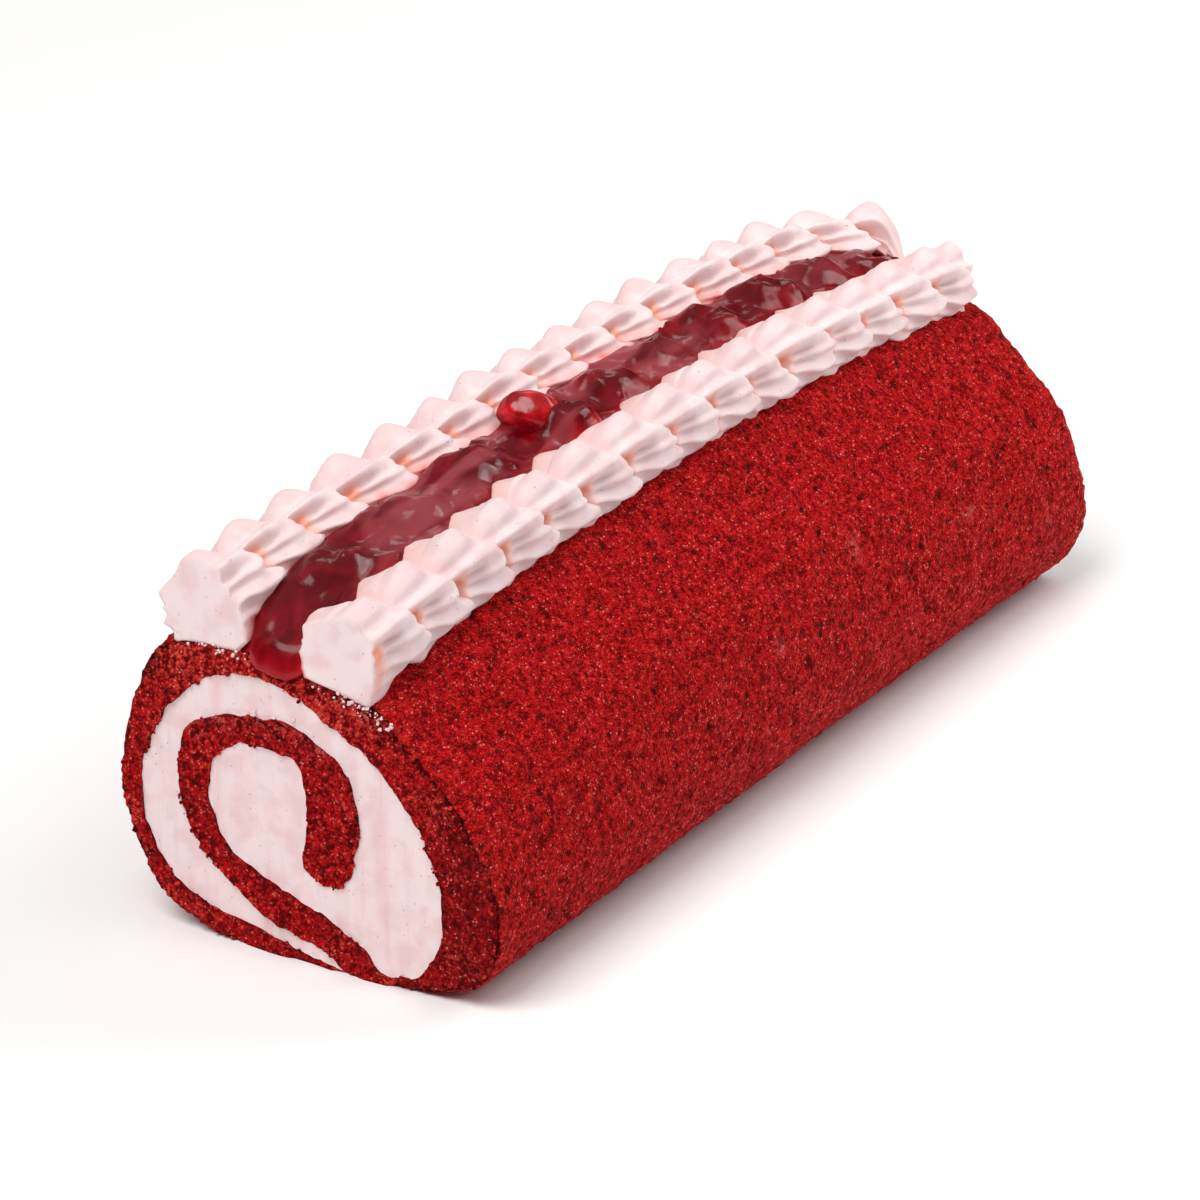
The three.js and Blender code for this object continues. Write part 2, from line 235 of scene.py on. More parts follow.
def layered(tree, colour, *layers):
    # each layer's colour goes over what is there, by its factor
    for factor, over in layers:
        colour = addNode(tree, "ShaderNodeMix", {0: factor, 6: colour, 7: over}, data_type="RGBA").outputs[2]
    return colour


def sums(tree, operation, first, second, third=0.0):
    return addNode(tree, "ShaderNodeMath", {0: first, 1: second, 2: third}, operation=operation).outputs[0]


def times(tree, first, second):
    return sums(tree, "MULTIPLY", first, second)


def ramp(tree, value, low, high, to=(0.0, 1.0)):
    inputs = {0: value, 1: low, 2: high, 3: to[0], 4: to[1]}
    return addNode(tree, "ShaderNodeMapRange", inputs, interpolation_type="SMOOTHSTEP").outputs[0]


def placeOn(tree, stretch=None):
    # where a point lies on the object, drawn out along an axis where stretch is small
    place = addNode(tree, "ShaderNodeTexCoord").outputs["Object"]
    if stretch:
        place = addNode(tree, "ShaderNodeMapping", {"Vector": place, "Scale": stretch}).outputs[0]
    return place


def cloudsOn(tree, place, scale, detail=2.0, **more):
    inputs = {"Vector": place, "Scale": scale, "Detail": detail, **more}
    return addNode(tree, "ShaderNodeTexNoise", inputs).outputs


def dotsOn(tree, place, scale):
    # distance to the nearest of a cloud of dots, and three numbers of that dot's own
    dots = addNode(tree, "ShaderNodeTexVoronoi", {"Vector": place, "Scale": scale})
    return dots.outputs["Distance"], addNode(tree, "ShaderNodeSeparateColor", {0: dots.outputs["Color"]}).outputs


def newGroup(name, inputs, outputs):
    group = bpy.data.node_groups.new(name, "ShaderNodeTree")
    for label, value in inputs.items():
        socket = group.interface.new_socket(label, in_out="INPUT", socket_type="NodeSocketFloat")
        socket.default_value = value
    for label in outputs:
        group.interface.new_socket(label, in_out="OUTPUT", socket_type="NodeSocketFloat")
    return group, group.nodes.new("NodeGroupInput").outputs, group.nodes.new("NodeGroupOutput").inputs


def placeGroup(tree, group, values):
    return addNode(tree, "ShaderNodeGroup", values, node_tree=group).outputs


def newMaterial(name, settings):
    material = bpy.data.materials.new(name)
    material.use_nodes = True
    shader = material.node_tree.nodes["Principled BSDF"]
    for label, value in settings.items():
        shader.inputs[label].default_value = value
    return material, material.node_tree, shader


def maskOf(tree, label):
    return addNode(tree, "ShaderNodeAttribute", attribute_name=label).outputs["Fac"]


def finishOff(tree, shader, colour, roughness, height, strength, distance):
    bump = addNode(tree, "ShaderNodeBump", {"Height": height, "Strength": strength, "Distance": distance})
    for label, value in {"Base Color": colour, "Roughness": roughness, "Normal": bump.outputs[0]}.items():
        tree.links.new(value, shader.inputs[label])


# Effects that are used more than once: the grain of crumb, and the flecks and pits in cream

def buildCrumbGrain():
    group, given, out = newGroup(
        "crumbGrain", {"Grains Per Metre": 1300.0, "Pores Per Metre": 260.0, "Glint Share": 0.05},
        ["Tone", "Height", "Pores", "Glints"])
    place = placeOn(group)
    warp = cloudsOn(group, place, 900.0)["Color"]
    pushed = addNode(group, "ShaderNodeVectorMath", {0: warp, 1: (0.0008,) * 3, 2: place},
                     operation="MULTIPLY_ADD").outputs[0]
    away, own = dotsOn(group, pushed, given["Grains Per Metre"])
    mound = ramp(group, away, 0.75, 0.05)
    coarse = cloudsOn(group, place, 640.0, 5.0, Roughness=0.65)[0]
    speckled = sums(group, "MULTIPLY_ADD", own[0], 0.3, times(group, mound, 0.3))
    tone = sums(group, "MULTIPLY_ADD", ramp(group, coarse, 0.3, 0.7), 0.4, speckled)
    away, own = dotsOn(group, pushed, given["Pores Per Metre"])
    pores = times(group, ramp(group, away, 0.24, 0.1), ramp(group, own[1], 0.45, 0.6))
    away, own = dotsOn(group, place, 1500.0)
    shining = sums(group, "LESS_THAN", own[2], given["Glint Share"])
    glints = times(group, times(group, shining, ramp(group, away, 0.42, 0.14)), ramp(group, coarse, 0.4, 0.6))
    raised = sums(group, "MULTIPLY_ADD", mound, 0.7, times(group, tone, 0.5))
    height = sums(group, "SUBTRACT", raised, pores)
    for label, value in {"Tone": tone, "Height": height, "Pores": pores, "Glints": glints}.items():
        group.links.new(value, out[label])
    return group


def buildCreamFlecks():
    group, given, out = newGroup(
        "creamFlecks", {"Fleck Share": 0.03, "Pit Share": 0.05}, ["Flecks", "Pits", "Clouds", "Height"])
    place = placeOn(group)
    away, own = dotsOn(group, place, 1000.0)
    flecks = times(group, sums(group, "LESS_THAN", own[0], given["Fleck Share"]), ramp(group, away, 0.26, 0.12))
    away, own = dotsOn(group, place, 900.0)
    pits = times(group, sums(group, "LESS_THAN", own[1], given["Pit Share"]), ramp(group, away, 0.3, 0.14))
    clouds = cloudsOn(group, place, 160.0, 3.0)[0]
    fine = cloudsOn(group, place, 900.0)[0]
    soft = sums(group, "MULTIPLY_ADD", fine, 0.25, times(group, clouds, 0.6))
    height = sums(group, "SUBTRACT", soft, pits)
    for label, value in {"Flecks": flecks, "Pits": pits, "Clouds": clouds, "Height": height}.items():
        group.links.new(value, out[label])
    return group


crumbGrain = buildCrumbGrain()
creamFlecks = buildCreamFlecks()

spongeFinish = {
    "skinDark": (0.13, 0.001, 0.002, 1), "skinRed": (0.52, 0.0038, 0.006, 1),
    "skinBright": (0.80, 0.045, 0.035, 1), "cutDark": (0.105, 0.001, 0.002, 1),
    "cutRed": (0.47, 0.0045, 0.007, 1), "cutBright": (0.76, 0.07, 0.048, 1),
    "poreShade": (0.035, 0.0005, 0.001, 1), "glint": (0.86, 0.34, 0.29, 1), "smear": (0.62, 0.16, 0.15, 1),
    "skinGrain": {"Grains Per Metre": 1600.0, "Pores Per Metre": 230.0, "Glint Share": 0.24},
    "cutGrain": {"Grains Per Metre": 1250.0, "Pores Per Metre": 340.0, "Glint Share": 0.1},
    "shader": {"Specular IOR Level": 0.06},
}


def spongeMaterial():
    look = spongeFinish
    material, tree, shader = newMaterial("red_sponge", look["shader"])
    cut, wornAndLit, deep, smear = [maskOf(tree, label) for label in ("cut", "wornAndLit", "deep", "smear")]
    skin = placeGroup(tree, crumbGrain, look["skinGrain"])
    crumb = placeGroup(tree, crumbGrain, look["cutGrain"])
    skinColour = layered(tree, look["skinDark"], (ramp(tree, skin["Tone"], 0.22, 0.5), look["skinRed"]),
                         (ramp(tree, skin["Tone"], 0.56, 0.86), look["skinBright"]))
    cutColour = layered(tree, look["cutDark"], (ramp(tree, crumb["Tone"], 0.22, 0.55), look["cutRed"]),
                        (ramp(tree, crumb["Tone"], 0.58, 0.86), look["cutBright"]))
    # painted shade: pores, the hollows of the cut and its right side darken to the pore colour
    pores = sums(tree, "MAXIMUM", times(tree, skin["Pores"], 0.85), deep)
    # the paler crumb laid over skin and cut is real wear near the ends, and painted light on the top of the cut
    colour = layered(
        tree, skinColour, (cut, cutColour),
        (times(tree, wornAndLit, ramp(tree, crumb["Tone"], 0.35, 0.7)), look["cutBright"]), (pores, look["poreShade"]),
        (times(tree, smear, ramp(tree, crumb["Tone"], 0.3, 0.6)), look["smear"]),
        (times(tree, skin["Glints"], 0.8), look["glint"]))
    height = addNode(tree, "ShaderNodeMix", {0: cut, 2: skin["Height"], 3: crumb["Height"]}).outputs[0]
    finishOff(tree, shader, colour, ramp(tree, skin["Tone"], 0.2, 0.9, (0.8, 0.5)), height, 0.85, 0.0006)
    return material


creamFinish = {
    # the crevice colour is a warm painted shade for the hollows between piped shells
    "cream": (0.900, 0.735, 0.735, 1), "shade": (0.845, 0.610, 0.615, 1), "creviceWarmShade": (0.90, 0.32, 0.19, 1),
    # the pit colour is painted shade for small air pits
    "stain": (0.80, 0.10, 0.075, 1), "fleck": (0.50, 0.05, 0.06, 1), "pitShade": (0.50, 0.30, 0.31, 1),
    "blush": (0.80, 0.42, 0.43, 1),
    "rolledFlecks": {"Fleck Share": 0.02, "Pit Share": 0.06},
    "pipedFlecks": {"Fleck Share": 0.012, "Pit Share": 0.03},
    "shader": {"Subsurface Weight": 0.22, "Subsurface Radius": (1.0, 0.4, 0.3), "Subsurface Scale": 0.0016,
               "Specular IOR Level": 0.4},
}


def creamMaterial(name, streaks):
    look = creamFinish
    material, tree, shader = newMaterial(name, look["shader"])
    flecks = placeGroup(tree, creamFlecks, look["rolledFlecks" if streaks else "pipedFlecks"])
    colour = layered(tree, look["cream"], (ramp(tree, flecks["Clouds"], 0.42, 0.68), look["shade"]))
    height = flecks["Height"]
    if streaks:
        drawn = placeOn(tree, (1.0, 1.0, 0.07))
        lines = cloudsOn(tree, drawn, 620.0, 3.0)[0]
        wide = cloudsOn(tree, drawn, 170.0)[0]
        colour = layered(tree, colour, (ramp(tree, lines, 0.5, 0.72, (0, 0.5)), look["shade"]),
                         (ramp(tree, wide, 0.56, 0.75, (0, 0.35)), look["blush"]))
        height = sums(tree, "MULTIPLY_ADD", lines, 0.9, height)
    else:
        # painted shade in the flutes, warm painted shade in the crevices, then the real stain of the sauce
        for mask, shade in (("shaded", "shade"), ("creviceWarmShade", "creviceWarmShade"), ("stained", "stain")):
            colour = layered(tree, colour, (maskOf(tree, mask), look[shade]))
    # painted shade in small air pits, then red flecks
    colour = layered(tree, colour, (times(tree, flecks["Pits"], 0.4), look["pitShade"]),
                     (times(tree, flecks["Flecks"], 0.55), look["fleck"]))
    finishOff(tree, shader, colour, ramp(tree, flecks["Clouds"], 0.3, 0.7, (0.42, 0.58)), height, 0.35, 0.0004)
    return material


sauceFinish = {
    "deep": (0.10, 0.0005, 0.004, 1), "body": (0.20, 0.001, 0.006, 1), "thin": (0.62, 0.010, 0.016, 1),
    # the last two colours are painted sheen, the mauve-grey reflection of the lamps put into the colour
    "rimSheen": (0.55, 0.18, 0.20, 1), "paintedSheen": (0.34, 0.06, 0.072, 1),
    "shader": {"Specular IOR Level": 0.18, "Coat Weight": 0.09, "Coat Roughness": 0.06, "Subsurface Weight": 0.12,
               "Subsurface Radius": (1.0, 0.06, 0.06), "Subsurface Scale": 0.002},
}


def sauceMaterial():
    look = sauceFinish
    material, tree, shader = newMaterial("fruit_sauce", look["shader"])
    flow = cloudsOn(tree, placeOn(tree, (0.45, 1.0, 1.0)), 190.0, 4.0, Distortion=0.8)[0]
    fine = cloudsOn(tree, placeOn(tree), 700.0)[0]
    # painted sheen: broad mauve-grey patches drawn out along the strip, and more along its sides
    paintedSheen = cloudsOn(tree, placeOn(tree, (0.3, 1.0, 1.0)), 110.0, 3.0, Distortion=0.5)[0]
    paintedSheenShare = times(tree, ramp(tree, paintedSheen, 0.46, 0.64, (0, 0.7)), maskOf(tree, "paintedSheenShare"))
    colour = layered(
        tree, look["deep"], (ramp(tree, flow, 0.4, 0.68), look["body"]), (maskOf(tree, "thin"), look["thin"]),
        (times(tree, maskOf(tree, "rimSheen"), 0.7), look["rimSheen"]), (paintedSheenShare, look["paintedSheen"]))
    height = sums(tree, "MULTIPLY_ADD", fine, 0.1, flow)
    finishOff(tree, shader, colour, ramp(tree, flow, 0.35, 0.75, (0.14, 0.28)), height, 0.2, 0.0012)
    return material


fruitFinish = {
    "red": (0.62, 0.006, 0.012, 1), "dark": (0.30, 0.002, 0.006, 1), "sunk": (0.20, 0.001, 0.006, 1),
    "shader": {"Specular IOR Level": 0.3, "Coat Weight": 0.28, "Coat Roughness": 0.05, "Subsurface Weight": 0.25,
               "Subsurface Radius": (1.0, 0.08, 0.06), "Subsurface Scale": 0.003},
}


def fruitMaterial():
    look = fruitFinish
    material, tree, shader = newMaterial("stewed_fruit", look["shader"])
    blotch = cloudsOn(tree, placeOn(tree), 260.0, 4.0)[0]
    fine = cloudsOn(tree, placeOn(tree), 900.0)[0]
    colour = layered(tree, look["dark"], (ramp(tree, blotch, 0.38, 0.66), look["red"]),
                     (maskOf(tree, "sunk"), look["sunk"]))
    height = sums(tree, "MULTIPLY_ADD", fine, 0.2, blotch)
    finishOff(tree, shader, colour, ramp(tree, blotch, 0.3, 0.7, (0.1, 0.26)), height, 0.35, 0.001)
    return material


spongeRed = spongeMaterial()
pipedCream = creamMaterial("piped_cream", False)
rolledCream = creamMaterial("rolled_cream", True)
sauceGloss = sauceMaterial()
fruitGloss = fruitMaterial()
print("materials made")


# The roll: its section at the cut face, and how it swells along its length

roll = {
    "length": 250, "crownRise": 0.107, "endDroop": 0.03, "farGrowth": 0.044,
    "skin": [
        (-20, 0), (-31, 1.6), (-40.5, 5.6), (-44.4, 13), (-45, 20), (-43.9, 26.5), (-41.6, 33.5),
        (-37.5, 41), (-31, 47.6), (-24.5, 53.4), (-19.5, 58.4), (-12, 61.3), (-2, 63.2), (9, 65),
        (20, 65.2), (29.5, 64.2), (36.5, 58.6), (41.4, 48.8), (44.6, 38.5), (44.8, 28), (42, 17),
        (38, 9.6), (32.5, 4), (24, 1.2), (16, 0)],
    "outerWrapEdge": [
        (-7.6, 0.6), (4, 2.6), (15.9, 5.4), (27, 7.8), (34, 13.6), (38.6, 22), (39.4, 32), (36.6, 42),
        (30.8, 50.3), (23.6, 56.6), (14, 59.8), (5, 59.2), (-6.3, 54.2), (-18, 47.2), (-24.5, 40),
        (-29.4, 31), (-32.2, 21), (-31.2, 11.6), (-27, 5.2), (-21.5, 2.8)],
    "innerWrapEdge": [
        (-17, 3.4), (-10, 8.6), (1.4, 13.4), (12, 17.4), (19.6, 22), (22.8, 30), (21.9, 39), (17, 43.9),
        (9, 45.5), (2, 43.6), (-0.6, 37), (-0.4, 28.5), (1.2, 22.6), (-2.4, 19), (-8, 18.8),
        (-11.6, 24.8), (-12.5, 34.9), (-10.6, 43.2), (-4, 48.9), (6, 51.8), (16, 50.7), (26, 47.4),
        (29.6, 41), (30.4, 31), (27.4, 23), (21, 15.8), (12, 9.8), (2, 5.2), (-4.5, 3.8), (-8.2, 0.6)],
    "hiddenRows": 7,
}


def heightShare(x):
    t = x / roll["length"]
    return 1 + roll["crownRise"] * 4 * t * (1 - t) + roll["endDroop"] * (1 - (2 * t - 1) ** 6)


def sizeShare(x):
    return 1 + roll["farGrowth"] * x / roll["length"]


def onRoll(x, flat):
    x = np.broadcast_to(x, len(flat))
    return np.column_stack([x, flat[:, 0] * sizeShare(x), flat[:, 1] * sizeShare(x) * heightShare(x)])


skinLine = spacedLine(smoothLine(roll["skin"]), 0.95)
skinLine[:, 1] = np.maximum(skinLine[:, 1], 0)
topLine = skinLine[skinLine[:, 1] > 30]


def topOfRoll(x, y):
    size = sizeShare(x)
    return np.interp(y / size, topLine[:, 0], topLine[:, 1]) * size * heightShare(x)


# The edge of the cream: ragged where the knife tore the crumb
creamEdge = {"step": 0.8, "ragged": 0.42, "fineRagged": 0.28, "calmTail": 9}


def raggedCreamLine():
    line = spacedLine(smoothLine(roll["outerWrapEdge"] + roll["innerWrapEdge"]), creamEdge["step"])
    along = lengthsAlong(line)
    calm = np.clip(np.minimum(along, along[-1] - along) / creamEdge["calmTail"], 0, 1)
    spots = np.column_stack([along, np.zeros(len(along)), np.zeros(len(along))])
    torn = creamEdge["ragged"] * softNoise(spots, 4.3, 11) + creamEdge["fineRagged"] * softNoise(spots, 1.6, 12)
    return line + normalsOf(line) * (torn * calm)[:, None]


creamLine = raggedCreamLine()


# Sponge

spongeShape = {
    "rowStep": 0.95, "cutStep": 0.62, "grain": 0.62, "grainSize": 1.75, "lumps": 0.28, "swells": 0.4,
    "poreDepth": 0.95, "poreSpacing": 4.6, "poreRadius": 0.62, "edgeWear": 0.85, "edgeReach": 1.5,
    "cutGrain": 0.95, "cutGrainSize": 2.1, "cutSwells": 0.35, "cutWear": 0.8, "cutWearReach": 1.3,
    "cutLip": 0.3, "cutLipReach": 0.9, "cutRange": (-1.9, 0.9), "seed": 5,
}


def crumbRelief(points, grain, size, seed):
    # height of the crumb over its plain surface, and how deep each point lies in a pore
    shape = spongeShape
    away, _ = cellNoise(points, size, seed)
    fineAway, _ = cellNoise(points, size * 0.52, seed + 20)
    height = grain * (0.55 - away) + grain * 0.4 * (0.55 - fineAway)
    height += shape["lumps"] * softNoise(points, 5.5, seed + 30)
    porous, chosen = cellNoise(points, shape["poreSpacing"], seed + 40)
    radius = shape["poreRadius"] * (0.6 + chosen)
    pore = np.exp(-(porous * shape["poreSpacing"] / radius) ** 2) * (chosen > 0.42)
    return height - shape["poreDepth"] * pore, pore


def buildSponge():
    shape = spongeShape
    length = roll["length"]
    rows = int(length / shape["rowStep"]) + 1
    places = np.linspace(0, length, rows)
    seamIn, seamOut = [creamLine[-1][0], 0], [creamLine[0][0], 0]
    contour = np.concatenate([[seamIn], skinLine, [seamOut]])
    columns = len(contour)
    outward = -normalsOf(contour)
    outward *= np.sign(np.sum(outward * (contour - [0, 30]), axis=1).mean())
    base = np.concatenate([onRoll(x, contour) for x in places])
    relief, pore = crumbRelief(base, shape["grain"], shape["grainSize"], shape["seed"])
    relief += shape["swells"] * softNoise(base, 19, 7)
    fromEnd = np.minimum(base[:, 0], length - base[:, 0])
    wear = shape["edgeWear"] * np.exp(-fromEnd / shape["edgeReach"]) * (0.8 + 0.7 * softNoise(base, 3.2, 9))
    lifted = np.clip(base[:, 2] / 3, 0, 1)
    relief = (relief - wear) * lifted
    skin = base.copy()
    skin[:, 1:] += np.tile(outward, (rows, 1)) * relief[:, None]
    skin[:, 2] = np.maximum(skin[:, 2], 0)
    faces = gridFaces(rows, columns)
    # painted shade in the pores
    masks = {"cut": np.zeros(len(skin)), "deep": pore * lifted,
             "wornAndLit": 0.9 * np.exp(-fromEnd / 2.2) * (0.5 + 0.5 * softNoise(base, 4, 17)),
             "smear": skinSmears(base)}
    # the hidden wall along the cream, in a few long rows
    wallPlaces = np.linspace(0, length, roll["hiddenRows"])
    wallStart = len(skin)
    wall = np.concatenate([onRoll(x, creamLine) for x in wallPlaces])
    faces += gridFaces(len(wallPlaces), len(creamLine), start=wallStart)
    skinEdge = lambda column: [row * columns + column for row in range(rows)]
    wallEdge = lambda column: [wallStart + row * len(creamLine) + column for row in range(len(wallPlaces))]
    faces += zipFaces(skinEdge(columns - 1), wallEdge(0), places, wallPlaces)
    faces += [face[::-1] for face in zipFaces(skinEdge(0), wallEdge(len(creamLine) - 1), places, wallPlaces)]
    points = np.concatenate([skin, wall])
    masks = padded(masks, len(points))
    for end, x, facing in ((0, 0, -1), (rows - 1, length, 1)):
        wallRow = wallStart + (0 if end == 0 else (len(wallPlaces) - 1) * len(creamLine))
        rim = [end * columns + i for i in range(columns)] + [wallRow + i for i in range(len(creamLine))]
        points, faces, masks = cutFace(points, faces, masks, rim, x, facing)
    return makePiece("sponge_sheet", points, faces, spongeRed, "sponge", masks)


def cutFace(points, faces, masks, rim, x, facing):
    # closes one end of the sponge with rough crumb
    shape = spongeShape
    points, index, added = closeEnd(points, rim, shape["cutStep"], 31 + facing, x, facing)
    spots = points[index]
    relief, pore = crumbRelief(spots * [0, 1, 1] + [x, 0, 0], shape["cutGrain"], shape["cutGrainSize"], 60)
    relief += shape["cutSwells"] * softNoise(spots, 7, 66)
    onSkin = len(skinLine) + 2
    toSkin = awayFrom(spots[:, 1:], spots[:onSkin:2, 1:])
    toCream = awayFrom(spots[:, 1:], spots[onSkin:len(rim), 1:])
    relief += shape["cutLip"] * np.exp(-toCream / shape["cutLipReach"])
    relief -= shape["cutWear"] * np.exp(-toSkin / shape["cutWearReach"])
    points[index, 0] = x + facing * np.clip(relief, *shape["cutRange"])
    masks = padded(masks, len(points))
    # painted light: the top of the cut is paler, as if lit from above, and its right side is painted in shade
    high = smoothStep(spots[:, 2], 44, 60)
    patches = smoothStep(softNoise(spots, 6, 71), -0.1, 0.7) * np.exp(-toSkin / 5)
    shade = 0.42 * smoothStep(-spots[:, 1], 22, 38) * (1 - high)
    masks["cut"][index] = 1
    # painted shade in the pores, in the low hollows of the cut and on its right side
    masks["deep"][index] = np.maximum.reduce([pore, smoothStep(-relief, 0.25, 1.1) * 0.7, shade])
    # paler crumb: wear in patches near the skin, and painted light on the top of the cut
    masks["wornAndLit"][index] = np.clip(patches * 1.1 + 0.5 * high, 0, 1)
    masks["smear"][index] = cutSmears(spots, facing)
    return points, faces + added, masks


# Pale places: [x, y, z, reach along, reach across] on the skin, [y, z, reach] on the near cut face
smears = {
    "skin": [
        (196, -40, 36, 3.4, 1.2), (150, -39, 44, 2.2, 2.0), (229, -42, 22, 2.0, 2.4), (112, -42, 36, 1.6, 1.4)],
    "cut": [(8, 53, 4.2), (-3, 50, 3.4), (19, 50.5, 3.0), (-15, 58.5, 2.6), (-6, 61.4, 2.4), (26, 46, 2.2)],
}


def skinSmears(points):
    mask = np.zeros(len(points))
    for x, y, z, along, across in smears["skin"]:
        away = np.sum(((points - [x, y, z]) / [along, 6, across]) ** 2, axis=1)
        mask = np.maximum(mask, np.exp(-away) * (0.6 + 0.4 * softNoise(points, 1.4, 91)))
    return mask


def cutSmears(points, facing):
    if facing > 0:
        return np.zeros(len(points))
    mask = np.zeros(len(points))
    for y, z, reach in smears["cut"]:
        away = np.hypot(points[:, 1] - y, points[:, 2] - z) / reach
        mask = np.maximum(mask, np.exp(-away ** 2) * (0.35 + 0.65 * softNoise(points, 1.2, 92)))
    return np.clip(mask, 0, 1)


buildSponge()


# The rolled cream

fillingShape = {"tuck": 0.12, "cutStep": 0.85, "streaks": 0.07, "waves": 0.12, "recess": 0.1}


def buildFilling():
    shape = fillingShape
    outline = creamLine - normalsOf(creamLine) * shape["tuck"]
    outline[0], outline[-1] = creamLine[0], creamLine[-1]
    places = np.linspace(0, roll["length"], roll["hiddenRows"])
    points = np.concatenate([onRoll(x, outline) for x in places])
    count = len(outline)
    faces = [face[::-1] for face in gridFaces(len(places), count, closed=True)]
    for row, facing in ((0, -1), (len(places) - 1, 1)):
        rim = list(range(row * count, (row + 1) * count))
        points, index, added = closeEnd(points, rim, shape["cutStep"], 81 + facing, places[row], facing)
        drawn = points[index] * [1, 1, 0.06]
        relief = shape["streaks"] * softNoise(drawn, 0.9, 83) + shape["waves"] * softNoise(points[index], 9, 84)
        points[index, 0] = places[row] + facing * (relief - shape["recess"])
        faces += added
    return makePiece("rolled_cream", points, faces, rolledCream, "filling")


buildFilling()


# Piped borders

piping = {
    "ridgesAt": [-14, 50, 95, 140, 185, 230, 272, 308, 346], "perFlute": 16, "ridgeSharpness": 0.85,
    "head": 9.8, "pitch": 16.1, "unevenness": 1.5, "lift": 3.1, "sink": 0.5,
    "wobble": 0.16, "torn": 0.6, "twist": 4,
    # the near end is fatter and higher, and cut with a knife
    "nearExtra": 1.0, "nearLift": 2.6, "nearReach": 32, "cutFullness": 0.55, "cutReach": 5, "cutSoft": 0.3,
    # the far end rounds off
    "farReach": 14, "endFlutes": 1.8, "closeFrom": 0.4,
    # along a shell
    "bodyRows": 24, "frontRows": 15, "frontRound": 0.16, "riseFrom": 0.04, "riseShape": 1.25, "shoulder": 0.14,
    "crease": 0.12, "creaseAt": 0.38, "dip": 0.10, "dipAt": 0.62, "ballMiddle": 0.5, "ballReach": 0.52,
    # flutes fan out from a shell's root, by degrees, and a rib splits some of them
    "fan": 26, "fanFrom": 50, "rib": 0.12,
    # round a shell, by degrees from upright towards the camera: its narrow end as a share of its head,
    # where along it is fattest, how far its front reaches over the next shell, how cupped it is,
    # the depth of its flutes at their rims and in their middle, how much warm painted shade its crevice gets,
    # how much like a ball it swells, its size there, and how far a rib splits the flute
    "round": [
        (-180, 0.66, 0.5, 0.6, 0, 0.05, 0.02, 0, 0, 1, 0),
        (-130, 0.5, 0.6, 1.8, 0.5, 0.08, 0.13, 0.3, 0.2, 1, 0.4),
        (-88, 0.42, 0.82, 3.0, 1, 0.1, 0.2, 0.5, 0, 1, 0.65),
        (-70, 0.42, 0.82, 2.6, 1, 0.1, 0.2, 0.8, 0, 1, 0.65),
        (-50, 0.44, 0.66, 0.2, 0.3, 0.05, 0.06, 0.4, 0.7, 0.97, 0),
        (-16, 0.28, 0.6, 0.2, 0, 0.03, 0.03, 0.1, 1, 0.86, 0), (10, 0.24, 0.6, 0.9, 0, 0, -0.04, 0, 1, 1.05, 0),
        (24, 0.28, 0.6, 1.3, 0, 0, -0.04, 0, 1, 1.01, 0), (39, 0.60, 0.6, 1.0, 0, 0, 0, 0, 0.6, 0.88, 0),
        (50, 0.86, 0.62, 0.6, 0, 0.05, 0.05, 0, 0, 1, 0), (64, 0.44, 0.84, 2.6, 1, 0.09, 0.2, 1, 0, 1, 0.6),
        (95, 0.40, 0.88, 5.0, 1, 0.1, 0.18, 0.5, 0, 1, 0.6),
        (118, 0.46, 0.62, 2.8, 0.5, 0.08, 0.13, 0.3, 0.3, 1, 0.4),
        (140, 0.6, 0.46, 1.0, 0, 0.07, 0.05, 0, 0.5, 1, 0), (180, 0.66, 0.5, 0.6, 0, 0.05, 0.02, 0, 0, 1, 0)],
}
rightRope = {
    "name": "piped_border_right", "node": "border_right", "firstHead": 12.7, "seed": 3, "raise": 0,
    "endLift": 0, "endExtra": 0, "turn": 0,
    "plan": [(0, -8.6), (12, -8.6), (80, -8.7), (160, -9.6), (248, -11.4)],
}
leftRope = {
    "name": "piped_border_left", "node": "border_left", "firstHead": 8.5, "seed": 41, "raise": 0.6,
    "endLift": 3.2, "endExtra": 0.6, "turn": -32,
    "plan": [(0, 23.4), (12, 23.4), (30, 22.8), (64, 20.4), (130, 19), (190, 16.8), (212, 16), (226, 13.4),
             (235.4, 8.4), (240.6, 1.8), (241.6, -2)],
}


def spread(n):
    value = math.sin(n * 12.9898) * 43758.5453
    return value - math.floor(value)


def shellEnds(rope, length):
    ends = []
    k = 0
    while rope["firstHead"] + k * piping["pitch"] < length - 0.5 * piping["pitch"]:
        drift = (2 * spread(k + rope["seed"]) - 1) * piping["unevenness"]
        ends.append(rope["firstHead"] + k * piping["pitch"] + drift * min(k, 1))
        k += 1
    return [rope["firstHead"] - piping["pitch"], *ends, length]


def ropeRows(rope, length):
    # each ring: place along the rope, how far through its shell, how far its front has turned, shell, last or not
    shape = piping
    ends = shellEnds(rope, length)
    rows = []
    for k in range(len(ends) - 1):
        start, end = ends[k], ends[k + 1]
        closing = k == len(ends) - 2
        for t in np.linspace(0, 1 - shape["frontRound"], shape["bodyRows"], endpoint=False):
            rows.append((start + (end - start) * t, t, 0.0, k, closing))
        for turn in np.linspace(0, math.pi, shape["frontRows"], endpoint=closing):
            t = 1 - shape["frontRound"] * (1 - math.sin(min(turn, math.pi / 2)))
            rows.append((start + (end - start) * t, t, turn, k, closing))
    return [(0.0, 1 - rope["firstHead"] / shape["pitch"], 0.0, 0, False), *[row for row in rows if row[0] > 0.4]]


def easedTable(degrees, table):
    # values round a shell, easing from one named angle to the next
    table = np.array(table, float)
    after = np.clip(np.searchsorted(table[:, 0], degrees, side="right"), 1, len(table) - 1)
    low, high = table[after - 1], table[after]
    part = smoothStep(degrees, low[:, 0], high[:, 0])[:, None]
    return (low + (high - low) * part)[:, 1:].T


# Fruit sauce between the borders; its edge also stains the cream, so its values come first

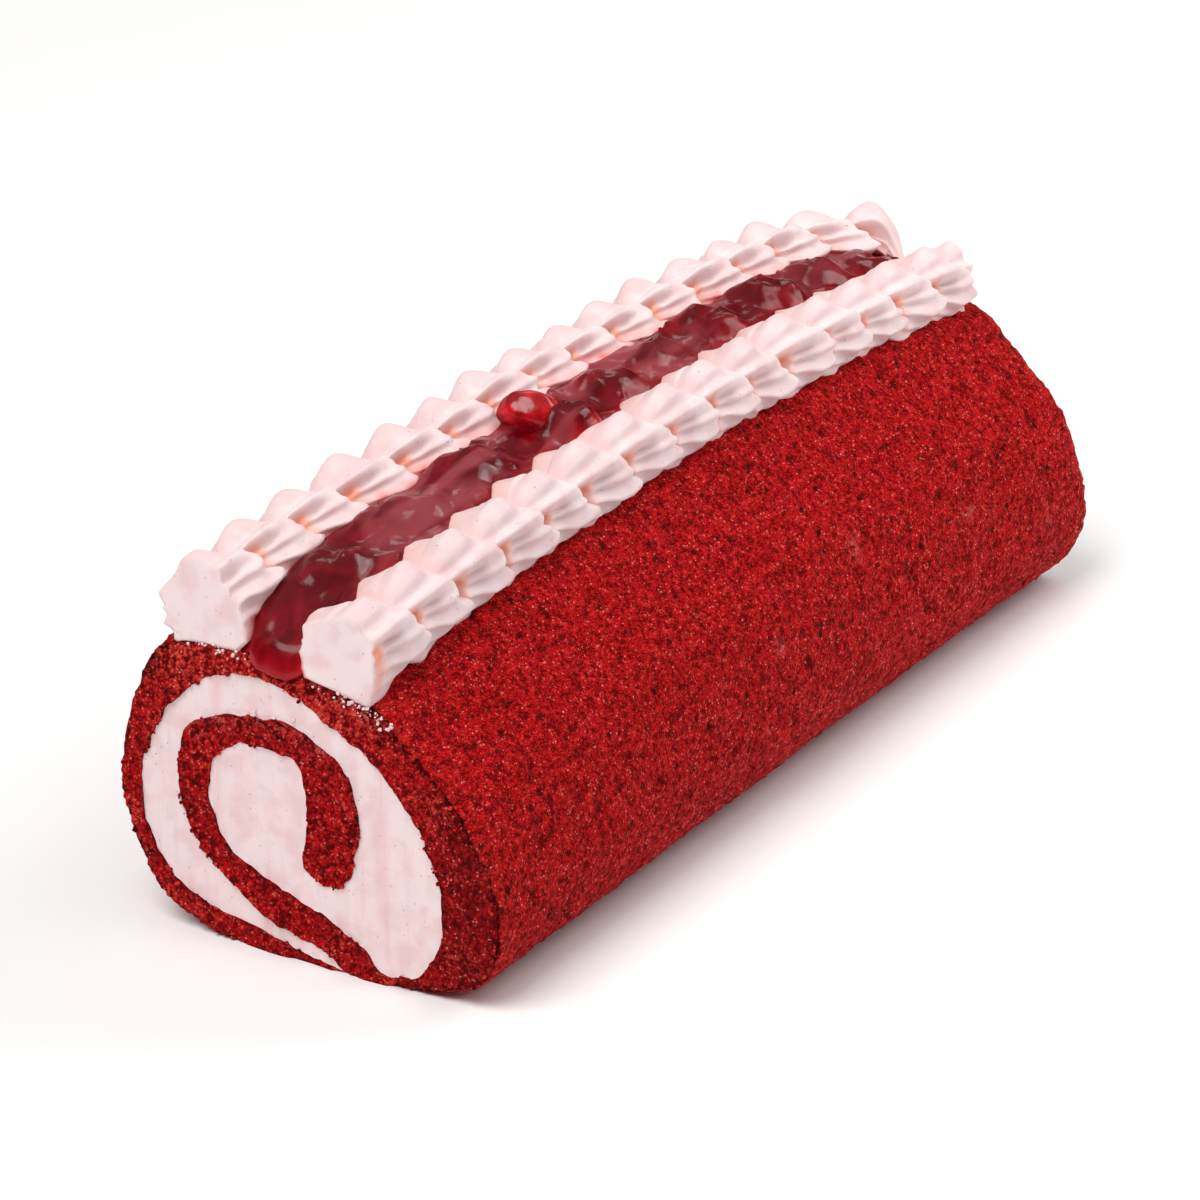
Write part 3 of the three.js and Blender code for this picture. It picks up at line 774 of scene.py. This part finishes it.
sauceShape = {
    "reach": 236, "step": 0.55, "seed": 8, "depth": 7.2, "frontDepth": 2.8, "frontFade": 9, "under": 3.5,
    # how far it keeps from the middle of each border, and how its left side rises and then falls
    "bite": 3.4, "frontBite": 8.4, "leftBite": 1.2, "leftRise": 0.5, "leftFall": 2.6,
    # its front: where it starts, its round tongue, and how it slumps over the edge of the cut
    "frontAt": 1.4, "tongue": 3.2, "frontRound": 3.6, "slump": 2.0,
    "folds": 0.5, "fine": 0.16, "edge": 0.9, "bubbles": 46, "smallBubble": 0.45, "largeBubble": 1.0,
    # fruit under the sauce: x, y, height, radius along, radius across
    "lumps": [
        (22, 9, 1.7, 9, 8), (47, 7, 1.4, 9, 8), (71, 6, 2.4, 10, 8), (99, -0.4, 4.8, 7.5, 6.0),
        (121, 4, 2.6, 8, 8), (142, 4, 1.6, 8, 7), (163, 3, 3.4, 9, 9), (187, 3, 3.2, 8.5, 9),
        (209, 1, 2.6, 8, 7), (226, 0, 1.2, 7, 6)],
}


def planAt(rope, x):
    places, offs = np.array(rope["plan"][:-1] if rope is leftRope else rope["plan"]).T
    return np.interp(x, places, offs)


def sauceStain(spots):
    # red along the foot of the cream where the sauce touches it
    x, y, z = spots.T
    middle = (planAt(rightRope, x) + planAt(leftRope, x)) / 2
    between = smoothStep(np.abs(y - middle), 11, 8)
    shape = sauceShape
    grown = 1 - np.exp(-x / shape["frontFade"])
    wet = shape["frontDepth"] + (shape["depth"] - shape["frontDepth"]) * grown + 0.4
    above = z - topOfRoll(np.maximum(x, 0), y) - wet
    patchy = 0.55 + 0.45 * softNoise(spots, 2.4, 44)
    return np.clip(between * patchy * np.exp(-np.maximum(above, 0) / 0.7) * (x < shape["reach"]), 0, 1)


def buildRope(rope):
    shape = piping
    plan = spacedLine(smoothLine(rope["plan"], centripetal=True), 0.5)
    along = lengthsAlong(plan)
    length = along[-1]
    forwards = np.gradient(plan, axis=0)
    rows = ropeRows(rope, length)
    columns = (len(shape["ridgesAt"]) - 1) * shape["perFlute"]
    flute = np.arange(columns) / shape["perFlute"]
    degrees = np.interp(flute, np.arange(len(shape["ridgesAt"])), shape["ridgesAt"])
    hollow = np.sin(math.pi * (flute % 1)) ** shape["ridgeSharpness"]
    narrow, fattest, reach, cupped, rimDepth, midDepth, warmShade, ball, size, split = easedTable(
        (degrees + 180) % 360 - 180, shape["round"])
    hollow *= 1 - split * np.exp(-((flute % 1 - 0.5) / shape["rib"]) ** 2)
    fanned = shape["fan"] * np.sin(np.radians(degrees - shape["fanFrom"]))
    bodyEnd = 1 - shape["frontRound"]
    points, creviceWarmShade, shaded, stained = [], [], [], []
    for at, t, turn, k, closing in rows:
        x, y = [np.interp(at, along, plan[:, i]) for i in (0, 1)]
        forward = np.array([np.interp(at, along, forwards[:, i]) for i in (0, 1)])
        forward /= np.linalg.norm(forward)
        nearness = math.exp(-at / shape["nearReach"])
        farness = math.exp(-(length - at) / shape["farReach"])
        extra = shape["nearExtra"] * nearness + rope["endExtra"] * farness
        lift = shape["lift"] + rope["raise"] + shape["nearLift"] * nearness + rope["endLift"] * farness
        # each shell, and each flute of it, differs a little
        spots = np.column_stack([flute * 0.9, np.full(columns, k * 3.7), np.full(columns, rope["seed"])])
        uneven, torn = softNoise(spots, 1.0, 21), softNoise(spots * [4.2, 1, 1], 1.0, 23)
        body = min(t, bodyEnd)
        rise = np.clip((body - shape["riseFrom"]) / (fattest - shape["riseFrom"]), 0, 1)
        swell = np.sin(math.pi / 2 * rise) ** shape["riseShape"]
        swell *= 1 - shape["shoulder"] * np.clip((body - fattest) / (1 - fattest), 0, 1) ** 2
        dome = math.sqrt(max(1 - ((t - shape["ballMiddle"]) / shape["ballReach"]) ** 2, 0))
        swell += (dome - swell) * ball
        swell += cupped * shape["crease"] * math.exp(-((body - shape["creaseAt"]) / 0.07) ** 2)
        swell -= cupped * shape["dip"] * math.exp(-((body - shape["dipAt"]) / 0.13) ** 2)
        swell *= 1 - ((1 - math.cos(turn)) / 2) ** (1 + 1.3 * cupped)
        swell += (1 - swell) * shape["cutFullness"] * math.exp(-at / shape["cutReach"])
        head = shape["head"] * (1 + (0.07 * uneven + 0.05 * spread(k * 3.3 + rope["seed"])) * swell)
        ring = head * (narrow + (1 - narrow) * swell) * (1 + (size - 1) * swell) + extra
        if closing:
            # the last shell rounds off and settles on the roll
            end = math.sqrt(max(1 - max((t - shape["closeFrom"]) / (1 - shape["closeFrom"]), 0) ** 2, 0))
            ring *= end * (1 if turn <= math.pi / 2 else math.sin(turn))
            lift *= 0.25 + 0.75 * end
        cup = math.sin(math.pi * min(max((t - 0.24) / 0.74, 0), 1)) ** 1.2
        flutes = 1 - shape["cutSoft"] * math.exp(-at / shape["cutReach"])
        flutes *= shape["endFlutes"] if closing else 1
        ring *= 1 - (rimDepth + midDepth * cup) * hollow * (1 + 0.2 * uneven) * flutes
        lean = 0 if closing else math.sin(turn) * reach * (1 + 0.3 * uneven + shape["torn"] * torn)
        lean *= 1.15 - 0.4 * cupped * hollow
        side = np.array([forward[1], -forward[0]])
        twist = shape["twist"] * (2 * spread(k * 7.1 + rope["seed"]) - 1)
        turned = (1 - math.cos(turn)) / 2
        opened = (t - 0.5) * (1 - turned) - 0.5 * turned
        angle = np.radians(degrees + rope["turn"] + twist + fanned * opened * min(at / 10, 1))
        level = topOfRoll(x, y) + lift
        out = ring + (0 if at == 0 else shape["wobble"]) * softNoise(np.column_stack(
            [flute * 5 + k, np.full(columns, at), np.full(columns, rope["seed"])]), 3.1, 25)
        spot = np.column_stack([
            x + side[0] * out * np.sin(angle) + forward[0] * lean,
            y + side[1] * out * np.sin(angle) + forward[1] * lean,
            level + out * np.cos(angle)])
        spot[:, 2] = np.maximum(spot[:, 2], topOfRoll(spot[:, 0], spot[:, 1]) - shape["sink"])
        points.append(spot)
        # painted shade: a warm tint where a shell narrows under the next one, and at its root
        closed = np.clip(1 - swell * 2.2, 0, 1) * smoothStep(narrow, 0.8, 0.6) * 0.8
        tucked = warmShade * smoothStep(t, 0.56, 0.28) * 0.95 * (turn == 0)
        creviceWarmShade.append((at > 0) * np.maximum(closed, tucked))
        stained.append(sauceStain(spot))
        between = ball * smoothStep(body, 0.32, 0.02)
        shaded.append(np.maximum.reduce([hollow * cup * 0.7, ball * 0.5 * nearness, between]))
    faces = gridFaces(len(rows), columns, closed=True)
    points = np.concatenate(points)
    masks = {"creviceWarmShade": creviceWarmShade, "shaded": shaded, "stained": stained}
    masks = {label: np.clip(np.concatenate(values), 0, 1) for label, values in masks.items()}
    for row, rings in ((0, 12), (len(rows) - 1, 3)):
        points, faces, masks = capRope(points, faces, masks, columns, row, rings)
    return makePiece(rope["name"], points, faces, pipedCream, rope["node"], masks)


def capRope(points, faces, masks, columns, row, rings):
    # closes an end with rings that shrink towards its middle
    rim = points[row * columns:(row + 1) * columns]
    middle = rim.mean(0)
    near = row == 0
    around = np.arange(columns)
    loops = [row * columns + around]
    for k in range(1, rings):
        ring = middle + (rim - middle) * (1 - k / rings)
        if near:
            ring[:, 0] -= 0.12 * softNoise(ring * [1, 1, 0.3], 2.2, 27) + 0.08
        loops.append(len(points) + around)
        points = np.concatenate([points, ring])
    points = np.concatenate([points, [middle]])
    blocks = [np.stack([outer, np.roll(outer, -1), np.roll(inner, -1), inner], axis=1)
              for outer, inner in zip(loops, loops[1:])]
    blocks.append(np.stack([loops[-1], np.roll(loops[-1], -1), np.full(columns, len(points) - 1)], axis=1))
    for block in blocks:
        faces += (block[:, ::-1] if near else block).tolist()
    return points, faces, padded(masks, len(points))


buildRope(rightRope)
buildRope(leftRope)


def wallFaces(edge, drop, turned):
    # joins an edge of the top with the floor under it, drop vertices further on
    faces = np.stack([edge[:-1], edge[1:], edge[1:] + drop, edge[:-1] + drop], axis=1)
    return (faces[:, ::-1] if turned else faces).tolist()


def buildSauce():
    shape = sauceShape
    rows = int(shape["reach"] / shape["step"]) + 1
    x = np.linspace(0, shape["reach"], rows)
    bite = shape["frontBite"] - (shape["frontBite"] - shape["bite"]) * smoothStep(x, 0, 10)
    right = planAt(rightRope, x) + bite
    left = planAt(leftRope, x) - bite - shape["leftBite"]
    lanes = int((left - right).max() / shape["step"])
    across = np.linspace(0, 1, lanes)
    gx = np.repeat(x, lanes)
    gy = (right[:, None] + (left - right)[:, None] * across).ravel()
    ga = np.tile(across, rows)
    # its front is a round tongue that leans over the top of the cut face
    front = shape["frontAt"] - shape["tongue"] * np.sin(math.pi * ga) ** 0.7
    front += 0.5 * softNoise(np.column_stack([gy, gy * 0, gy * 0]), 2.6, 39)
    blend = np.clip(1 - gx / 9, 0, 1)
    gx = gx + front * blend
    ahead = gx - front
    flat = np.column_stack([gx, gy, np.zeros(len(gx))])
    grown = 1 - np.exp(-np.maximum(gx, 0) / shape["frontFade"])
    depth = shape["frontDepth"] + (shape["depth"] - shape["frontDepth"]) * grown
    depth += shape["leftRise"] * ga * np.minimum(gx / 30, 1)
    depth += 0.35 * np.sin(gx * 0.21 + gy * 0.5) + 0.3 * np.sin(gx * 0.43 - gy * 0.7)
    for lumpX, lumpY, height, alongReach, acrossReach in shape["lumps"]:
        away = np.hypot((gx - lumpX + 0.5 * (gy - lumpY)) / alongReach, (gy - lumpY) / acrossReach)
        depth += height * (1 - smoothStep(away + 0.1 * softNoise(flat, 5, 32), 0.35, 1.05))
    # folds that drift along the strip
    drift = [2.2 * softNoise(flat, 7, 33), 1.6 * softNoise(flat, 6, 34), np.zeros(len(flat))]
    fold = 1 - np.abs(softNoise((flat + np.column_stack(drift)) * [0.45, 1, 1], 4.2, 35))
    calmFront = smoothStep(gx, 1, 7)
    depth += shape["folds"] * (fold ** 3) * calmFront + shape["fine"] * softNoise(flat, 2.1, 36) * calmFront
    rng = np.random.default_rng(shape["seed"])
    for _ in range(shape["bubbles"]):
        bx = rng.uniform(3, shape["reach"] - 6)
        side = rng.uniform(0.16, 0.84) if rng.random() < 0.4 else rng.choice([0.2, 0.8]) + rng.uniform(-0.05, 0.05)
        low, high = planAt(rightRope, bx) + shape["bite"], planAt(leftRope, bx) - shape["bite"]
        by = low + side * (high - low)
        size = rng.uniform(shape["smallBubble"], shape["largeBubble"])
        away = np.hypot(gx - bx, gy - by) / size
        depth += size * 0.7 * np.sqrt(np.clip(1 - away ** 2, 0, 1))
    inward = 1 - np.abs(2 * ga - 1)
    depth += shape["edge"] * np.exp(-inward * 9) * calmFront - shape["leftFall"] * smoothStep(ga, 0.8, 1)
    slump = shape["slump"] * smoothStep(-gx, -1, 1.6)
    bed = topOfRoll(np.maximum(gx, 0), gy) - slump
    swell = np.sqrt(1 - np.clip(1 - ahead / shape["frontRound"], 0, 1) ** 2)
    points = np.column_stack([gx, gy, bed + depth * swell])
    floor = np.column_stack([gx, gy, bed - 0.4 - (shape["under"] - 0.4) * smoothStep(ahead, 0, 4)])
    count = rows * lanes
    faces = [face[::-1] for face in gridFaces(rows, lanes)] + gridFaces(rows, lanes, start=count)
    side, end = np.arange(rows) * lanes, np.arange(lanes)
    for edge, turned in ((side, True), (side + lanes - 1, False), (end, False), (end + side[-1], True)):
        faces += wallFaces(edge, count, turned)
    rim = np.exp(-inward * 6)
    thin = np.clip(rim * 1.2 * (0.6 + 0.6 * softNoise(flat, 3, 37)) + 0.4 * np.exp(-ahead / 0.8), 0, 1)
    # painted sheen: pale mauve-grey patches along the sides of the strip
    rimSheen = np.clip(rim * smoothStep(softNoise(flat, 2.6, 38), 0.25, 0.75), 0, 1) * calmFront
    # painted sheen is laid from a little behind the front, and weaker towards the far end
    paintedSheenShare = smoothStep(gx, 8, 50) * (1 - 0.65 * smoothStep(gx, 140, 195))
    masks = {"thin": thin, "rimSheen": rimSheen, "paintedSheenShare": paintedSheenShare}
    masks = {label: np.tile(values, 2) for label, values in masks.items()}
    return makePiece("sauce_strip", np.concatenate([points, floor]), faces, sauceGloss, "sauce", masks)


buildSauce()

fruitShape = {
    "centre": (95.5, 7.3, 83.5), "radii": (7.2, 5.1, 5.1), "turn": -72, "around": 72, "rings": 40, "bumps": 0.45,
    "fineBumps": 0.12, "folds": 0.2,
}


def buildFruit():
    shape = fruitShape
    turnAt, riseAt = np.meshgrid(np.arange(shape["around"]) * 2 * math.pi / shape["around"],
                                 np.linspace(0.03, math.pi - 0.03, shape["rings"]))
    ball = np.column_stack([(np.sin(riseAt) * np.cos(turnAt)).ravel(), (np.sin(riseAt) * np.sin(turnAt)).ravel(),
                            np.cos(riseAt).ravel()])
    points = ball * shape["radii"]
    fold = 1 - np.abs(softNoise(points * [0.6, 1, 1], 2.8, 53))
    points += ball * (shape["bumps"] * softNoise(points, 3.2, 51) + shape["fineBumps"] * softNoise(points, 1.5, 52)
                      - shape["folds"] * fold ** 6)[:, None]
    turn = math.radians(shape["turn"])
    points = np.column_stack([points[:, 0] * math.cos(turn) - points[:, 1] * math.sin(turn),
                              points[:, 0] * math.sin(turn) + points[:, 1] * math.cos(turn), points[:, 2]])
    points += shape["centre"]
    columns = shape["around"]
    faces = [face[::-1] for face in gridFaces(shape["rings"], columns, closed=True)]
    faces.append(list(range(columns)))
    last = (shape["rings"] - 1) * columns
    faces.append([last + i for i in range(columns)][::-1])
    sunk = smoothStep(points[:, 2], shape["centre"][2] + 1, shape["centre"][2] - 3)
    return makePiece("fruit_piece_glossy", points, faces, fruitGloss, "fruit_piece", {"sunk": sunk})


buildFruit()


# Loose crumbs along the torn edges, and cream left on the sponge

crumbs = {
    "alongCream": 190, "alongSkin": 110, "smallest": 0.22, "largest": 0.62, "seed": 14, "smallestFleck": 0.12,
    "largestFleck": 0.42, "footFrom": 61,
    # cream left by the knife: middle y and z, reach across and up, how many
    "flecks": [(-13, 62, 7.5, 1.7, 46), (18, 62.5, 9, 1.2, 26), (-18.5, 58.6, 1.6, 1.2, 5), (5, 53, 13, 1.1, 16)],
}


def lumpsPiece(name, places, sizes, material, masks, seed):
    ball = bmesh.new()
    bmesh.ops.create_icosphere(ball, subdivisions=2, radius=1)
    corners = np.array([corner.co for corner in ball.verts])
    sides = np.array([[corner.index for corner in side.verts] for side in ball.faces])
    ball.free()
    rng = np.random.default_rng(seed)
    points, faces = [], []
    for k, (place, size) in enumerate(zip(places, sizes)):
        stretch = rng.uniform(0.65, 1.25, 3)
        lump = corners * stretch * size * (1 + 0.35 * softNoise(corners + k * 5.3, 0.9, seed))[:, None]
        points.append(lump + place)
        faces += (sides + k * len(corners)).tolist()
    points = np.concatenate(points)
    return makePiece(name, points, faces, material, None,
                     {label: np.full(len(points), value) for label, value in masks.items()})


def buildCrumbs():
    look = crumbs
    rng = np.random.default_rng(look["seed"])
    places, sizes = [], []
    for line, count, inward in ((creamLine, look["alongCream"], -0.15), (skinLine, look["alongSkin"], -1.7)):
        picks = rng.integers(4, len(line) - 4, count)
        normals = normalsOf(line)
        middle = np.sign(np.sum(normals * (line - [0, 30]), axis=1).mean())
        for pick in picks:
            size = rng.uniform(look["smallest"], look["largest"]) ** 1.3
            off = inward * (middle if line is skinLine else 1) * (0.6 + rng.random())
            spot = line[pick] + normals[pick] * off + rng.uniform(-0.3, 0.3, 2)
            depth = -0.15 - 0.3 * rng.random() if line is creamLine else 0.1 + 0.6 * rng.random()
            places.append([depth, spot[0], max(spot[1], size)])
            sizes.append(size)
    lumpsPiece("torn_crumbs", np.array(places), sizes, spongeRed,
               {"cut": 1, "wornAndLit": 0.6, "deep": 0, "smear": 0}, look["seed"])
    places, sizes = [], []
    for y, z, across, up, count in look["flecks"]:
        for _ in range(count):
            off = rng.normal(0, 0.5, 2)
            size = look["smallestFleck"] + (look["largestFleck"] - look["smallestFleck"]) * rng.random() ** 2
            spotY = y + off[0] * across
            spotZ = z + off[1] * up
            if z > look["footFrom"]:
                # at the foot of a border, the bits lie just under the skin
                spotZ = np.interp(spotY, topLine[:, 0], topLine[:, 1]) - abs(off[1]) * up * 1.6
            places.append([-0.35 * rng.random() - 0.1, spotY, spotZ])
            sizes.append(size)
    lumpsPiece("cream_flecks", np.array(places), sizes, pipedCream,
               {"creviceWarmShade": 0, "shaded": 0.7, "stained": 0}, look["seed"] + 1)


buildCrumbs()


# Light, floor and camera

studio = {
    "horizonLight": 0.05, "zenithLight": 0.5, "floor": (0.98, 0.98, 0.98, 1), "floorSize": 8,
    # name, place, aim, width, height, watts, colour
    "lamps": [
        ("keyLight", (-1.9, 0.4, 3.2), (0, 0, 0.04), 2.4, 2.4, 114, (1, 0.99, 0.975)),
        ("backLight", (1.5, 1.0, 1.05), (0, 0, 0.06), 0.6, 0.35, 1.1, (1, 1, 1)),
        ("frontLight", (0.78, -0.66, 0.66), (0.08, 0, 0.04), 0.66, 0.48, 4.7, (1, 0.99, 0.98)),
        ("farLight", (0.32, -0.25, 0.5), (0.08, -0.01, 0.06), 0.3, 0.2, 0.65, (1, 0.99, 0.98)),
    ],
}
viewpoint = {
    "target": (-0.0288, -0.0094, 0.045), "azimuth": -58.63, "elevation": 23.98, "distance": 1.147, "lens": 164.6,
}


def aimAt(item, target):
    item.rotation_mode = "QUATERNION"
    item.rotation_quaternion = (Vector(target) - item.location).to_track_quat("-Z", "Y")


def setStudio():
    world = bpy.data.worlds.new("studio")
    bpy.context.scene.world = world
    world.use_nodes = True
    tree = world.node_tree
    sky = addNode(tree, "ShaderNodeSeparateXYZ", {0: addNode(tree, "ShaderNodeTexCoord").outputs["Generated"]})
    glow = ramp(tree, sky.outputs["Z"], 0.28, 0.95, (studio["horizonLight"], studio["zenithLight"]))
    tree.links.new(glow, tree.nodes["Background"].inputs["Strength"])
    tree.nodes["Background"].inputs["Color"].default_value = (1, 1, 1, 1)
    for name, place, aim, width, height, watts, colour in studio["lamps"]:
        light = bpy.data.lights.new(name, "AREA")
        light.shape, light.size, light.size_y = "RECTANGLE", width, height
        light.energy, light.color = watts, colour
        lamp = bpy.data.objects.new(name, light)
        bpy.context.scene.collection.objects.link(lamp)
        lamp.location = place
        aimAt(lamp, aim)
    half = studio["floorSize"] / 2
    mesh = bpy.data.meshes.new("floor")
    mesh.from_pydata([(-half, -half, 0), (half, -half, 0), (half, half, 0), (-half, half, 0)], [], [(0, 1, 2, 3)])
    mesh.materials.append(newMaterial("pale_floor", {"Base Color": studio["floor"], "Roughness": 0.6})[0])
    floor = bpy.data.objects.new("floor", mesh)
    bpy.context.scene.collection.objects.link(floor)


def setCamera():
    camera = bpy.data.objects.new("camera", bpy.data.cameras.new("camera"))
    bpy.context.scene.collection.objects.link(camera)
    turn, rise = math.radians(viewpoint["azimuth"]), math.radians(viewpoint["elevation"])
    back = Vector((math.sin(turn) * math.cos(rise), -math.cos(turn) * math.cos(rise), math.sin(rise)))
    camera.location = Vector(viewpoint["target"]) + back * viewpoint["distance"]
    aimAt(camera, viewpoint["target"])
    camera.data.sensor_width, camera.data.lens = 36, viewpoint["lens"]
    camera.data.clip_start, camera.data.clip_end = 0.05, 20
    bpy.context.scene.camera = camera


setStudio()
setCamera()
bpy.context.scene.view_settings.view_transform = "Standard"
print("studio set")

bpy.context.view_layer.update()
